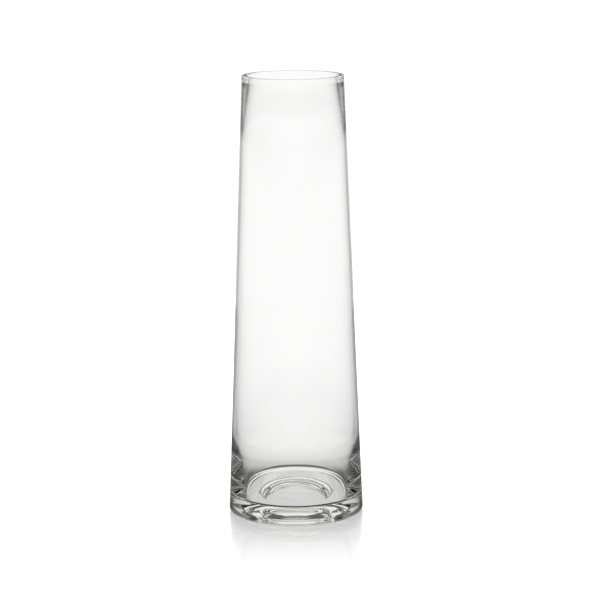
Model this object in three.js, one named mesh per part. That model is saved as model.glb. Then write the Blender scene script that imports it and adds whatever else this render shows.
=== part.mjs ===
// Tapered glass cylinder vase: one continuous piece of clear soda-lime glass, blown in a
// mould, with its rim cut and polished flat and a hollow pushed up under its thick base.
// Millimetres, +Z up. The origin is the centre of the circle that the vase stands on.
import * as THREE from "three";

// Outside
const HEIGHT = 330;
const BASE_DIAMETER = 101; // where the straight side meets the rounded foot edge
const RIM_DIAMETER = 75.5;
const FOOT_ROUND = 2.5; // radius of the edge between the side and the standing ring
const RIM_ROUND = 0.7; // radius of the two polished edges of the rim

// Underside: a flat standing ring round a hollow, which falls away ever faster to its edge
const HOLLOW_RADIUS = 27;
const HOLLOW_DEPTH = 6.5;
const HOLLOW_POWER = 4;

// Glass thickness
const BODY_WALL = 2; // over most of the height
const RIM_WALL = 4; // the glass thickens again towards the cut rim
const RIM_FADE = 24; // how far below the rim most of that thickening has gone
const FLOOR_THICKNESS = 11.5; // from the standing ring's plane to the inner floor

// Inside, low down: the wall swells evenly into the thick base and a short curve meets the floor
const BOWL_TOP = 60;
const BOWL_FOOT = 15;
const BOWL_THICKENING = 8.5;
const BOWL_EASE = 0.3; // share of the swelling in which it gathers pace
const CORNER_REACH = 4.5; // from the foot of the swelling in to the flat floor

// Facets
const SIDES = 64;
const HOLLOW_STEPS = 6;
const FOOT_STEPS = 4;
const SIDE_STEPS = 5;
const RIM_STEPS = 2;
const WALL_STEPS = 9;
const BOWL_STEPS = 6;
const CORNER_STEPS = 4;

const baseRadius = BASE_DIAMETER / 2;
const rimRadius = RIM_DIAMETER / 2;
const sideTop = HEIGHT - RIM_ROUND;

// Outside radius of the straight side at height z.
function sideRadius(z) {
  const share = (z - FOOT_ROUND) / (sideTop - FOOT_ROUND);
  return THREE.MathUtils.lerp(baseRadius, rimRadius, share);
}

// Inside radius of the wall at height z, above the swelling.
function wallRadius(z) {
  const belowRim = (HEIGHT - z) / RIM_FADE;
  const thickening = (RIM_WALL - BODY_WALL) * Math.exp(-belowRim * belowRim);
  return sideRadius(z) - BODY_WALL - thickening;
}

// Inside radius at height z where the wall swells into the base.
function bowlRadius(z) {
  const share = (BOWL_TOP - z) / (BOWL_TOP - BOWL_FOOT);
  const eased = (share * share) / (2 * BOWL_EASE);
  const swell = share < BOWL_EASE ? eased : share - BOWL_EASE / 2;
  return wallRadius(z) - BOWL_THICKENING * swell;
}

// Points of an elliptical arc, from one angle to another, both ends included.
function arc(centreR, centreZ, radiusR, radiusZ, from, to, steps) {
  const points = [];
  for (let i = 0; i <= steps; i++) {
    const angle = THREE.MathUtils.lerp(from, to, i / steps);
    const r = centreR + radiusR * Math.cos(angle);
    const z = centreZ + radiusZ * Math.sin(angle);
    points.push(new THREE.Vector2(r, z));
  }
  return points;
}

// The dome of the hollow, from the axis out to the standing ring.
function hollowOutline() {
  const points = [];
  for (let i = 0; i <= HOLLOW_STEPS; i++) {
    const share = i / HOLLOW_STEPS;
    const z = HOLLOW_DEPTH * (1 - Math.pow(share, HOLLOW_POWER));
    points.push(new THREE.Vector2(HOLLOW_RADIUS * share, z));
  }
  return points;
}

// The rounded foot edge and the straight outer side.
function sideOutline() {
  const right = 0;
  const down = -Math.PI / 2;
  const foot = arc(baseRadius - FOOT_ROUND, FOOT_ROUND, FOOT_ROUND, FOOT_ROUND, down, right, FOOT_STEPS);
  const side = [];
  for (let i = 1; i < SIDE_STEPS; i++) {
    const z = THREE.MathUtils.lerp(FOOT_ROUND, sideTop, i / SIDE_STEPS);
    side.push(new THREE.Vector2(sideRadius(z), z));
  }
  return [...foot, ...side];
}

// The flat rim between its two polished edges.
function rimOutline() {
  const quarter = Math.PI / 2;
  const outer = arc(rimRadius - RIM_ROUND, sideTop, RIM_ROUND, RIM_ROUND, 0, quarter, RIM_STEPS);
  const innerCentre = wallRadius(sideTop) + RIM_ROUND;
  const inner = arc(innerCentre, sideTop, RIM_ROUND, RIM_ROUND, quarter, 2 * quarter, RIM_STEPS);
  return [...outer, ...inner];
}

// The inside, from just below the rim down the wall, along the swelling and in to the axis.
function insideOutline() {
  const wall = [];
  for (let i = 1; i < WALL_STEPS; i++) {
    const share = Math.pow(i / WALL_STEPS, 1.6); // closer steps where the glass thickens
    const z = THREE.MathUtils.lerp(sideTop, BOWL_TOP, share);
    wall.push(new THREE.Vector2(wallRadius(z), z));
  }
  const bowl = [];
  for (let i = 0; i < BOWL_STEPS; i++) {
    const z = THREE.MathUtils.lerp(BOWL_TOP, BOWL_FOOT, i / BOWL_STEPS);
    bowl.push(new THREE.Vector2(bowlRadius(z), z));
  }
  const floorRadius = bowlRadius(BOWL_FOOT) - CORNER_REACH;
  const drop = BOWL_FOOT - FLOOR_THICKNESS;
  const down = -Math.PI / 2;
  const corner = arc(floorRadius, BOWL_FOOT, CORNER_REACH, drop, 0, down, CORNER_STEPS);
  return [...wall, ...bowl, ...corner, new THREE.Vector2(0, FLOOR_THICKNESS)];
}

function vaseBody() {
  const outline = [...hollowOutline(), ...sideOutline(), ...rimOutline(), ...insideOutline()];
  const geometry = new THREE.LatheGeometry(outline, SIDES);
  geometry.rotateX(Math.PI / 2); // from a lathe round Y to one round Z
  const clearGlass = new THREE.MeshStandardMaterial({
    color: 0xe3ebe7,
    roughness: 0.02,
    metalness: 0,
    transparent: true,
    opacity: 0.35,
  });
  const mesh = new THREE.Mesh(geometry, clearGlass);
  mesh.name = "vase_body";
  return mesh;
}

const vase = new THREE.Group();
vase.add(vaseBody());

export default vase;
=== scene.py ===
import math

import bmesh
import bpy
from mathutils import Matrix, Vector, noise


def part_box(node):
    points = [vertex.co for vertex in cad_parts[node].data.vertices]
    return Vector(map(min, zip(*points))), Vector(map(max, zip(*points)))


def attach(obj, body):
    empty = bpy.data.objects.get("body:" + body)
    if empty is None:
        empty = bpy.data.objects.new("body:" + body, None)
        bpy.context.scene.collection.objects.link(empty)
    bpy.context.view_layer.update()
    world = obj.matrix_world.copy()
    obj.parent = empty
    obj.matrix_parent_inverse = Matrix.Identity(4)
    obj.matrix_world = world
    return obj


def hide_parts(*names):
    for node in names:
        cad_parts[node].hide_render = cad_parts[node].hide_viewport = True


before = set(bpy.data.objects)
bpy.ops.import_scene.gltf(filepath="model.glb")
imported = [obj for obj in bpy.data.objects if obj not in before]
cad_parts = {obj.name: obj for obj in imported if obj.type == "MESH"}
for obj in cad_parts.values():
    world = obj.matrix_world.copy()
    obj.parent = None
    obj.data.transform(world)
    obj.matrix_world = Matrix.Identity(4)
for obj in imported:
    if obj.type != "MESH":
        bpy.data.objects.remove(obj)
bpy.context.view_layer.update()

# ------------------------------------------------------------------ camera
# A long lens, a little above the vase and level with it from left to right, looks down at the
# middle of its height. The vase leans by less than half a degree in the finished picture.
vase_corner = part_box("vase_body")[1]
vase_height = vase_corner.z
lens_height = 1.523 * vase_height
lens_distance = 5.507 * vase_height
downward_tilt = math.radians(10.614)
camera_lean = math.radians(0.4386)
turned_right = math.radians(0.105)

camera_data = bpy.data.cameras.new("camera")
camera_data.lens = 148.6
camera_data.sensor_width = 36
camera_data.clip_start = 0.1
camera_data.clip_end = 40
camera = bpy.data.objects.new("camera", camera_data)
aim = Matrix.Rotation(-turned_right, 4, "Z") @ Matrix.Rotation(math.pi / 2 - downward_tilt, 4, "X")
camera.matrix_world = (
    Matrix.Translation((0, -lens_distance, lens_height)) @ aim @ Matrix.Rotation(-camera_lean, 4, "Z")
)
bpy.context.scene.collection.objects.link(camera)
bpy.context.scene.camera = camera


# ------------------------------------------------------------------ vase body
# One piece of clear soda-lime glass, blown in a mould that gives the straight tapered side. The
# base is left thick, with a hollow pushed up under it, and the rim is cut and polished flat.
base_radius = vase_corner.x
rim_radius = 0.03775
foot_round = 0.0025
rim_round = 0.0007
hollow_radius = 0.027
hollow_depth = 0.0065
hollow_power = 4
body_wall = 0.0020
rim_wall = 0.004
rim_fade = 0.024
floor_thickness = 0.0115
floor_wave = 0.0003
wave_size = 0.011
wave_slice = 0.3
wave_reach = 0.034
bowl_top = 0.060
bowl_foot = 0.015
bowl_thickening = 0.0085
bowl_ease = 0.3
corner_reach = 0.0045
side_top = vase_height - rim_round
facets = 256
refraction = 1.5
swirl_scale = 26
swirl_strength = 0.05
swirl_height = 0.001
handling_scale = 60
handling_spread = (0.35, 0.75)
handling_haze = 0.02
glass_tint = (0.84, 0.855, 0.73, 1)
tint_density = 6


def side_radius(z):
    """Outside radius of the straight side."""
    share = (z - foot_round) / (side_top - foot_round)
    return base_radius + (rim_radius - base_radius) * share


def wall_radius(z):
    """Inside radius of the wall, which thickens towards the cut rim."""
    below_rim = (vase_height - z) / rim_fade
    thickening = (rim_wall - body_wall) * math.exp(-below_rim * below_rim)
    return side_radius(z) - body_wall - thickening


def bowl_radius(z):
    """Inside radius low down, where the wall swells evenly into the thick base."""
    share = (bowl_top - z) / (bowl_top - bowl_foot)
    if share < bowl_ease:
        swell = share * share / (2 * bowl_ease)
    else:
        swell = share - bowl_ease / 2
    return wall_radius(z) - bowl_thickening * swell


def hollow_height(r):
    """Height of the hollow under the base."""
    return hollow_depth * (1 - (r / hollow_radius) ** hollow_power)


def arc(centre_r, centre_z, reach_r, reach_z, start, end, steps):
    """Points of an elliptical arc, both ends included."""
    turn = [start + (end - start) * i / steps for i in range(steps + 1)]
    return [(centre_r + reach_r * math.cos(a), centre_z + reach_z * math.sin(a)) for a in turn]


def line(start, end, steps):
    """Points of a straight stretch, without its ends."""
    shares = [i / steps for i in range(1, steps)]
    return [(start[0] + (end[0] - start[0]) * s, start[1] + (end[1] - start[1]) * s) for s in shares]


def glass_outline():
    """The section of the glass, from the axis under the base, up the outside and down the inside."""
    hollow_radii = [hollow_radius * i / 24 for i in range(1, 25)]
    hollow = [(r, hollow_height(r)) for r in hollow_radii]
    foot = arc(base_radius - foot_round, foot_round, foot_round, foot_round, -math.pi / 2, 0, 8)
    ring = line(hollow[-1], foot[0], 4)
    rim_out = arc(rim_radius - rim_round, side_top, rim_round, rim_round, 0, math.pi / 2, 5)
    side = line(foot[-1], rim_out[0], 40)
    inner_centre = wall_radius(side_top) + rim_round
    rim_in = arc(inner_centre, side_top, rim_round, rim_round, math.pi / 2, math.pi, 5)
    rim_top = line(rim_out[-1], rim_in[0], 3)
    wall_heights = [side_top - (side_top - bowl_top) * i / 60 for i in range(1, 60)]
    wall = [(wall_radius(z), z) for z in wall_heights]
    bowl_heights = [bowl_top - (bowl_top - bowl_foot) * i / 64 for i in range(64)]
    bowl = [(bowl_radius(z), z) for z in bowl_heights]
    corner_r = bowl_radius(bowl_foot) - corner_reach
    corner_drop = bowl_foot - floor_thickness
    corner = arc(corner_r, bowl_foot, corner_reach, corner_drop, 0, -math.pi / 2, 20)
    floor = line(corner[-1], (0, floor_thickness), 40)
    return [*hollow, *ring, *foot, *side, *rim_out, *rim_top, *rim_in, *wall, *bowl, *corner, *floor]


def spun(name, outline, low_centre, high_centre, sides):
    """A closed body of revolution from an outline that starts and ends beside the axis."""
    mesh = bmesh.new()
    rings = []
    for r, z in outline:
        turn = [2 * math.pi * i / sides for i in range(sides)]
        rings.append([mesh.verts.new((r * math.cos(a), r * math.sin(a), z)) for a in turn])
    low = mesh.verts.new((0, 0, low_centre))
    high = mesh.verts.new((0, 0, high_centre))
    for i in range(sides):
        j = (i + 1) % sides
        mesh.faces.new((low, rings[0][j], rings[0][i]))
        for under, over in zip(rings, rings[1:]):
            mesh.faces.new((under[i], under[j], over[j], over[i]))
        mesh.faces.new((rings[-1][i], rings[-1][j], high))
    for face in mesh.faces:
        face.smooth = True
    data = bpy.data.meshes.new(name)
    mesh.to_mesh(data)
    mesh.free()
    piece = bpy.data.objects.new(name, data)
    bpy.context.scene.collection.objects.link(piece)
    return piece


def clear_glass():
    """Clear, a faint warm grey-green where it is thick, with slow swirls and a trace of haze."""
    material = bpy.data.materials.new("clear_glass")
    material.use_nodes = True
    nodes = material.node_tree.nodes
    links = material.node_tree.links
    glass = nodes["Principled BSDF"]
    glass.inputs["Base Color"].default_value = (1, 1, 1, 1)
    glass.inputs["IOR"].default_value = refraction
    glass.inputs["Transmission Weight"].default_value = 1
    place = nodes.new("ShaderNodeTexCoord")
    swirls = nodes.new("ShaderNodeTexNoise")
    swirls.inputs["Scale"].default_value = swirl_scale
    swirls.inputs["Detail"].default_value = 1
    links.new(place.outputs["Object"], swirls.inputs["Vector"])
    waviness = nodes.new("ShaderNodeBump")
    waviness.inputs["Strength"].default_value = swirl_strength
    waviness.inputs["Distance"].default_value = swirl_height
    links.new(swirls.outputs["Fac"], waviness.inputs["Height"])
    links.new(waviness.outputs["Normal"], glass.inputs["Normal"])
    handling = nodes.new("ShaderNodeTexNoise")
    handling.inputs["Scale"].default_value = handling_scale
    handling.inputs["Detail"].default_value = 4
    links.new(place.outputs["Object"], handling.inputs["Vector"])
    haze = nodes.new("ShaderNodeMapRange")
    haze.inputs["From Min"].default_value = handling_spread[0]
    haze.inputs["From Max"].default_value = handling_spread[1]
    haze.inputs["To Min"].default_value = 0
    haze.inputs["To Max"].default_value = handling_haze
    links.new(handling.outputs["Fac"], haze.inputs["Value"])
    links.new(haze.outputs["Result"], glass.inputs["Roughness"])
    tint = nodes.new("ShaderNodeVolumeAbsorption")
    tint.inputs["Color"].default_value = glass_tint
    tint.inputs["Density"].default_value = tint_density
    links.new(tint.outputs["Volume"], nodes["Material Output"].inputs["Volume"])
    return material


def ripple_floor(piece):
    """Slow waves left in the floor as the glass set, dying out towards its edge."""
    for point in piece.data.vertices:
        reach = math.hypot(point.co.x, point.co.y) / wave_reach
        on_floor = abs(point.co.z - floor_thickness) < 1e-5
        if on_floor and reach < 1:
            wave = noise.noise(Vector((point.co.x, point.co.y, wave_slice)) / wave_size)
            fading = 1 - reach ** 6
            point.co.z += floor_wave * wave * fading


vase = spun("vase_glass", glass_outline(), hollow_depth, floor_thickness, facets)
ripple_floor(vase)
vase.data.materials.append(clear_glass())
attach(vase, "root")
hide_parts("vase_body")


# ------------------------------------------------------------------ table
# A sheet of glossy white acrylic lit from below, which the vase stands on and is faintly mirrored
# in. Its glow carries painted shade: it dims towards the foot of the vase, and in painted dark
# stripes that draw the edges of the clear glass. Light that passes through the glass and light
# mirrored in it meet glows of their own, with painted shade and a painted bright ring under the foot.
table_radius = 0.9
table_gap = 0.0002
acrylic_grey = 0.02
acrylic_roughness = 0.05
acrylic_refraction = 1.45
# Glow at distances from the axis of the vase, in metres; its dimming near the foot is painted shade
seen_glow_painted_shade = (
    (0.050, 0.52),
    (0.058, 0.57),
    (0.075, 0.67),
    (0.087, 0.73),
    (0.098, 0.78),
    (0.114, 0.84),
    (0.154, 0.93),
    (0.250, 1.0),
)
# Seen through the glass: a painted bright ring under the foot, a painted dark ring round it, and
# painted shade fading outwards
through_glass_painted_shade = (
    (0.043, 0.68),
    (0.048, 0.95),
    (0.055, 0.95),
    (0.058, 0.10),
    (0.066, 0.12),
    (0.073, 0.60),
    (0.090, 0.79),
    (0.120, 0.865),
    (0.166, 0.925),
    (0.240, 0.975),
    (0.290, 0.985),
    (0.400, 0.980),
    (0.900, 0.982),
)
# Seen mirrored in the glass: painted dark rings and painted shade round the vase, fading outwards
mirrored_in_glass_painted_shade = (
    (0.030, 0.38),
    (0.035, 0.04),
    (0.047, 0.04),
    (0.0495, 0.60),
    (0.0510, 0.60),
    (0.0530, 0.10),
    (0.120, 0.12),
    (0.200, 0.24),
    (0.250, 0.50),
    (0.340, 0.92),
    (0.900, 0.982),
)
stripe_start = (0.10, 0.24)
# Glow at bearings in degrees: from the middle of a stripe, and from straight behind the vase; on the
# table the dips are painted dark stripes, in the tent they are its darker gaps
stripe_turn = 22.5
stripes = ((0, 1.0), (6, 0.97), (12, 0.89), (17, 0.78), (20, 0.45), (22.5, 0.28))
half_turn = 180
mirrored_stripes = (
    (0, 0.97),
    (8, 0.85),
    (15, 0.34),
    (24, 0.28),
    (38, 0.58),
    (58, 0.85),
    (90, 0.95),
    (180, 0.97),
)


def maths(tree, operation, first, second=None):
    """A Math node; its inputs are numbers or sockets."""
    node = tree.nodes.new("ShaderNodeMath")
    node.operation = operation
    for socket, value in zip(node.inputs, (first, second)):
        if isinstance(value, bpy.types.NodeSocket):
            tree.links.new(value, socket)
        elif value is not None:
            socket.default_value = value
    return node.outputs[0]


def blend(tree, value, edge, low, high):
    """Runs smoothly from low to high as the value crosses the edge."""
    node = tree.nodes.new("ShaderNodeMapRange")
    node.interpolation_type = "SMOOTHSTEP"
    tree.links.new(value, node.inputs["Value"])
    node.inputs["From Min"].default_value = edge[0]
    node.inputs["From Max"].default_value = edge[1]
    for socket, end in ((node.inputs["To Min"], low), (node.inputs["To Max"], high)):
        if isinstance(end, bpy.types.NodeSocket):
            tree.links.new(end, socket)
        else:
            socket.default_value = end
    return node.outputs["Result"]


def graded(tree, value, stops, span=1):
    """A level that runs in straight lines between stops of (place, level), over places up to span."""
    node = tree.nodes.new("ShaderNodeValToRGB")
    ramp = node.color_ramp
    ramp.elements[0].position = stops[0][0] / span
    ramp.elements[1].position = stops[-1][0] / span
    for place, level in stops[1:-1]:
        ramp.elements.new(place / span)
    for element, (place, level) in zip(ramp.elements, stops):
        element.color = (level, level, level, 1)
    tree.links.new(maths(tree, "DIVIDE", value, span), node.inputs["Fac"])
    return node.outputs["Color"]


def white_acrylic_painted_shade():
    """Glossy and glowing where it is looked at, its glow dimmed round the vase as painted shade; for
    light in the glass, a plain glow with painted shade, painted dark stripes and a painted bright
    ring under the foot.
    """
    material = bpy.data.materials.new("white_acrylic_painted_shade")
    material.use_nodes = True
    tree = material.node_tree
    place = tree.nodes.new("ShaderNodeTexCoord")
    split = tree.nodes.new("ShaderNodeSeparateXYZ")
    tree.links.new(place.outputs["Object"], split.inputs["Vector"])
    length = tree.nodes.new("ShaderNodeVectorMath")
    length.operation = "LENGTH"
    tree.links.new(place.outputs["Object"], length.inputs[0])
    distance = length.outputs["Value"]
    bearing = maths(tree, "DEGREES", maths(tree, "ARCTAN2", split.outputs["X"], split.outputs["Y"]))
    # Painted dark stripes in the glow, and others for light mirrored in the glass, starting some way
    # out from the vase
    striped = graded(tree, maths(tree, "PINGPONG", bearing, stripe_turn), stripes, stripe_turn)
    path = tree.nodes.new("ShaderNodeLightPath")
    mirrored = maths(tree, "MINIMUM", path.outputs["Glossy Depth"], 1)
    from_behind = maths(tree, "ABSOLUTE", bearing)
    striped_mirrored = graded(tree, from_behind, mirrored_stripes, half_turn)
    shade = blend(tree, mirrored, (0, 1), striped, striped_mirrored)
    shade_here = blend(tree, distance, stripe_start, 1, shade)
    acrylic = tree.nodes["Principled BSDF"]
    acrylic.inputs["Base Color"].default_value = (acrylic_grey, acrylic_grey, acrylic_grey, 1)
    acrylic.inputs["Roughness"].default_value = acrylic_roughness
    acrylic.inputs["IOR"].default_value = acrylic_refraction
    acrylic.inputs["Emission Strength"].default_value = 1
    # The glow where it is looked at dims towards the foot of the vase: painted shade
    tree.links.new(graded(tree, distance, seen_glow_painted_shade), acrylic.inputs["Emission Color"])
    # For light in the glass: a plain glow carrying painted shade, a painted bright ring under the
    # foot and painted dark stripes
    lit_through = graded(tree, distance, through_glass_painted_shade)
    lit_mirrored = graded(tree, distance, mirrored_in_glass_painted_shade)
    lit = blend(tree, mirrored, (0, 1), lit_through, lit_mirrored)
    glow = tree.nodes.new("ShaderNodeEmission")
    tree.links.new(lit, glow.inputs["Color"])
    tree.links.new(shade_here, glow.inputs["Strength"])
    chosen = tree.nodes.new("ShaderNodeMixShader")
    tree.links.new(path.outputs["Is Camera Ray"], chosen.inputs["Fac"])
    tree.links.new(glow.outputs["Emission"], chosen.inputs[1])
    tree.links.new(acrylic.outputs["BSDF"], chosen.inputs[2])
    tree.links.new(chosen.outputs["Shader"], tree.nodes["Material Output"].inputs["Surface"])
    return material


table_mesh = bmesh.new()
bmesh.ops.create_circle(table_mesh, cap_ends=True, segments=128, radius=table_radius)
table_data = bpy.data.meshes.new("table")
table_mesh.to_mesh(table_data)
table_mesh.free()
table = bpy.data.objects.new("table", table_data)
table.location.z = -table_gap
table.data.materials.append(white_acrylic_painted_shade())
bpy.context.scene.collection.objects.link(table)


# ------------------------------------------------------------------ light
# A tent of white panels stands round the table, with darker gaps beside each, so that clear glass
# shows a bright middle and dark edges. Higher up it is bright at the back, dull overhead and dim at
# the sides but for one panel on each. Light mirrored in the glass meets levels of its own here too.
panel_light = 0.985
high_light = 0.12
roof_light = 0.3
# Levels at bearings in degrees: from the middle of a panel, and from straight behind the vase
panel_turn = 45
eye_level_panels = (
    (0, 0.98),
    (5, 0.96),
    (8, 0.90),
    (12, 0.78),
    (16, 0.52),
    (19, 0.12),
    (22, 0.04),
    (27, 0.08),
    (32, 0.33),
    (38, 0.46),
    (45, 0.46),
)
mirrored_low_panels = (
    (0, 0.97),
    (8, 0.90),
    (14, 0.50),
    (24, 0.44),
    (35, 0.65),
    (50, 0.88),
    (70, 0.96),
    (180, 0.97),
)
mirrored_eye_level = (
    (0, 0.97),
    (3, 0.55),
    (6, 0.03),
    (25, 0.01),
    (30, 0.22),
    (40, 0.30),
    (60, 0.36),
    (90, 0.46),
    (180, 0.80),
)
mirrored_high_panels = (
    (0, 0.42),
    (13, 0.34),
    (15, 0.0),
    (27, 0.0),
    (31, 0.26),
    (35, 0.42),
    (42, 0.32),
    (60, 0.45),
    (90, 0.75),
    (180, 0.90),
)
back_edge = (24, 27)
low_side_panels = ((0, 0.02), (31, 0.02), (35, 0.26), (58, 0.14), (74, 0.05), (180, 0.05))
side_panels = ((0, 0.02), (31, 0.02), (35, 0.82), (58, 0.64), (74, 0.08), (180, 0.08))
# Levels at rises above the horizon in degrees, and the rises where one part gives way to the next
straight_up = 90
back_panel = (
    (0, 0.95),
    (18, 0.98),
    (20, 0.42),
    (26, 0.42),
    (29, 1.0),
    (60, 1.0),
    (64, 0.10),
    (90, 0.10),
)
eye_level = (-5.2, -3)
mirrored_rise = (-1, 2)
panel_top = (5, 9)
side_panel_rise = (14, 17)
side_rise = (22, 30)
roof_edge = (60, 72)
# The backdrop as it is looked at, and as the table mirrors it above a rise
backdrop_white = 1.06
backdrop_mirrored = 2.0
backdrop_rise = (9, 9.5)

world = bpy.data.worlds.new("light_tent")
bpy.context.scene.world = world
world.use_nodes = True
tent = world.node_tree
direction = tent.nodes.new("ShaderNodeTexCoord")
heading = tent.nodes.new("ShaderNodeSeparateXYZ")
tent.links.new(direction.outputs["Generated"], heading.inputs["Vector"])
bearing = maths(tent, "DEGREES", maths(tent, "ARCTAN2", heading.outputs["X"], heading.outputs["Y"]))
rise = maths(tent, "DEGREES", maths(tent, "ARCSINE", heading.outputs["Z"]))
from_behind = maths(tent, "ABSOLUTE", bearing)
low_stripes = graded(tent, maths(tent, "PINGPONG", bearing, stripe_turn), stripes, stripe_turn)
low_wall = maths(tent, "MULTIPLY", low_stripes, panel_light)
eye_wall = graded(tent, maths(tent, "PINGPONG", bearing, panel_turn), eye_level_panels, panel_turn)
striped_wall = blend(tent, rise, eye_level, low_wall, eye_wall)
mirrored_low = graded(tent, from_behind, mirrored_low_panels, half_turn)
mirrored_eye = graded(tent, from_behind, mirrored_eye_level, half_turn)
mirrored_lower = blend(tent, rise, eye_level, mirrored_low, mirrored_eye)
mirrored_high = graded(tent, from_behind, mirrored_high_panels, half_turn)
mirrored_wall = blend(tent, rise, mirrored_rise, mirrored_lower, mirrored_high)
path = tent.nodes.new("ShaderNodeLightPath")
mirrored = maths(tent, "MINIMUM", path.outputs["Glossy Depth"], 1)
wall = blend(tent, mirrored, (0, 1), striped_wall, mirrored_wall)
low_side = graded(tent, from_behind, low_side_panels, half_turn)
high_side = graded(tent, from_behind, side_panels, half_turn)
lit_side = blend(tent, rise, side_panel_rise, low_side, high_side)
side = blend(tent, rise, side_rise, lit_side, high_light)
back = graded(tent, maths(tent, "MAXIMUM", rise, 0), back_panel, straight_up)
upper = blend(tent, from_behind, back_edge, back, side)
wall_and_upper = blend(tent, rise, panel_top, wall, upper)
tent_level = blend(tent, rise, roof_edge, wall_and_upper, roof_light)
been_in_glass = maths(tent, "MINIMUM", path.outputs["Transmission Depth"], 1)
clear_of_glass = maths(tent, "SUBTRACT", 1, been_in_glass)
mirrored_outside = maths(tent, "MULTIPLY", mirrored, clear_of_glass)
off_table = blend(tent, rise, backdrop_rise, 0, mirrored_outside)
reached = blend(tent, off_table, (0, 1), tent_level, backdrop_mirrored)
level = tent.nodes.new("ShaderNodeMix")
tent.links.new(path.outputs["Is Camera Ray"], level.inputs["Factor"])
tent.links.new(reached, level.inputs["A"])
level.inputs["B"].default_value = backdrop_white
tent.links.new(level.outputs["Result"], tent.nodes["Background"].inputs["Strength"])
tent.nodes["Background"].inputs["Color"].default_value = (1, 1, 1, 1)

scene = bpy.context.scene
scene.view_settings.view_transform = "Standard"
scene.cycles.max_bounces = 24
scene.cycles.transmission_bounces = 24
scene.cycles.glossy_bounces = 12
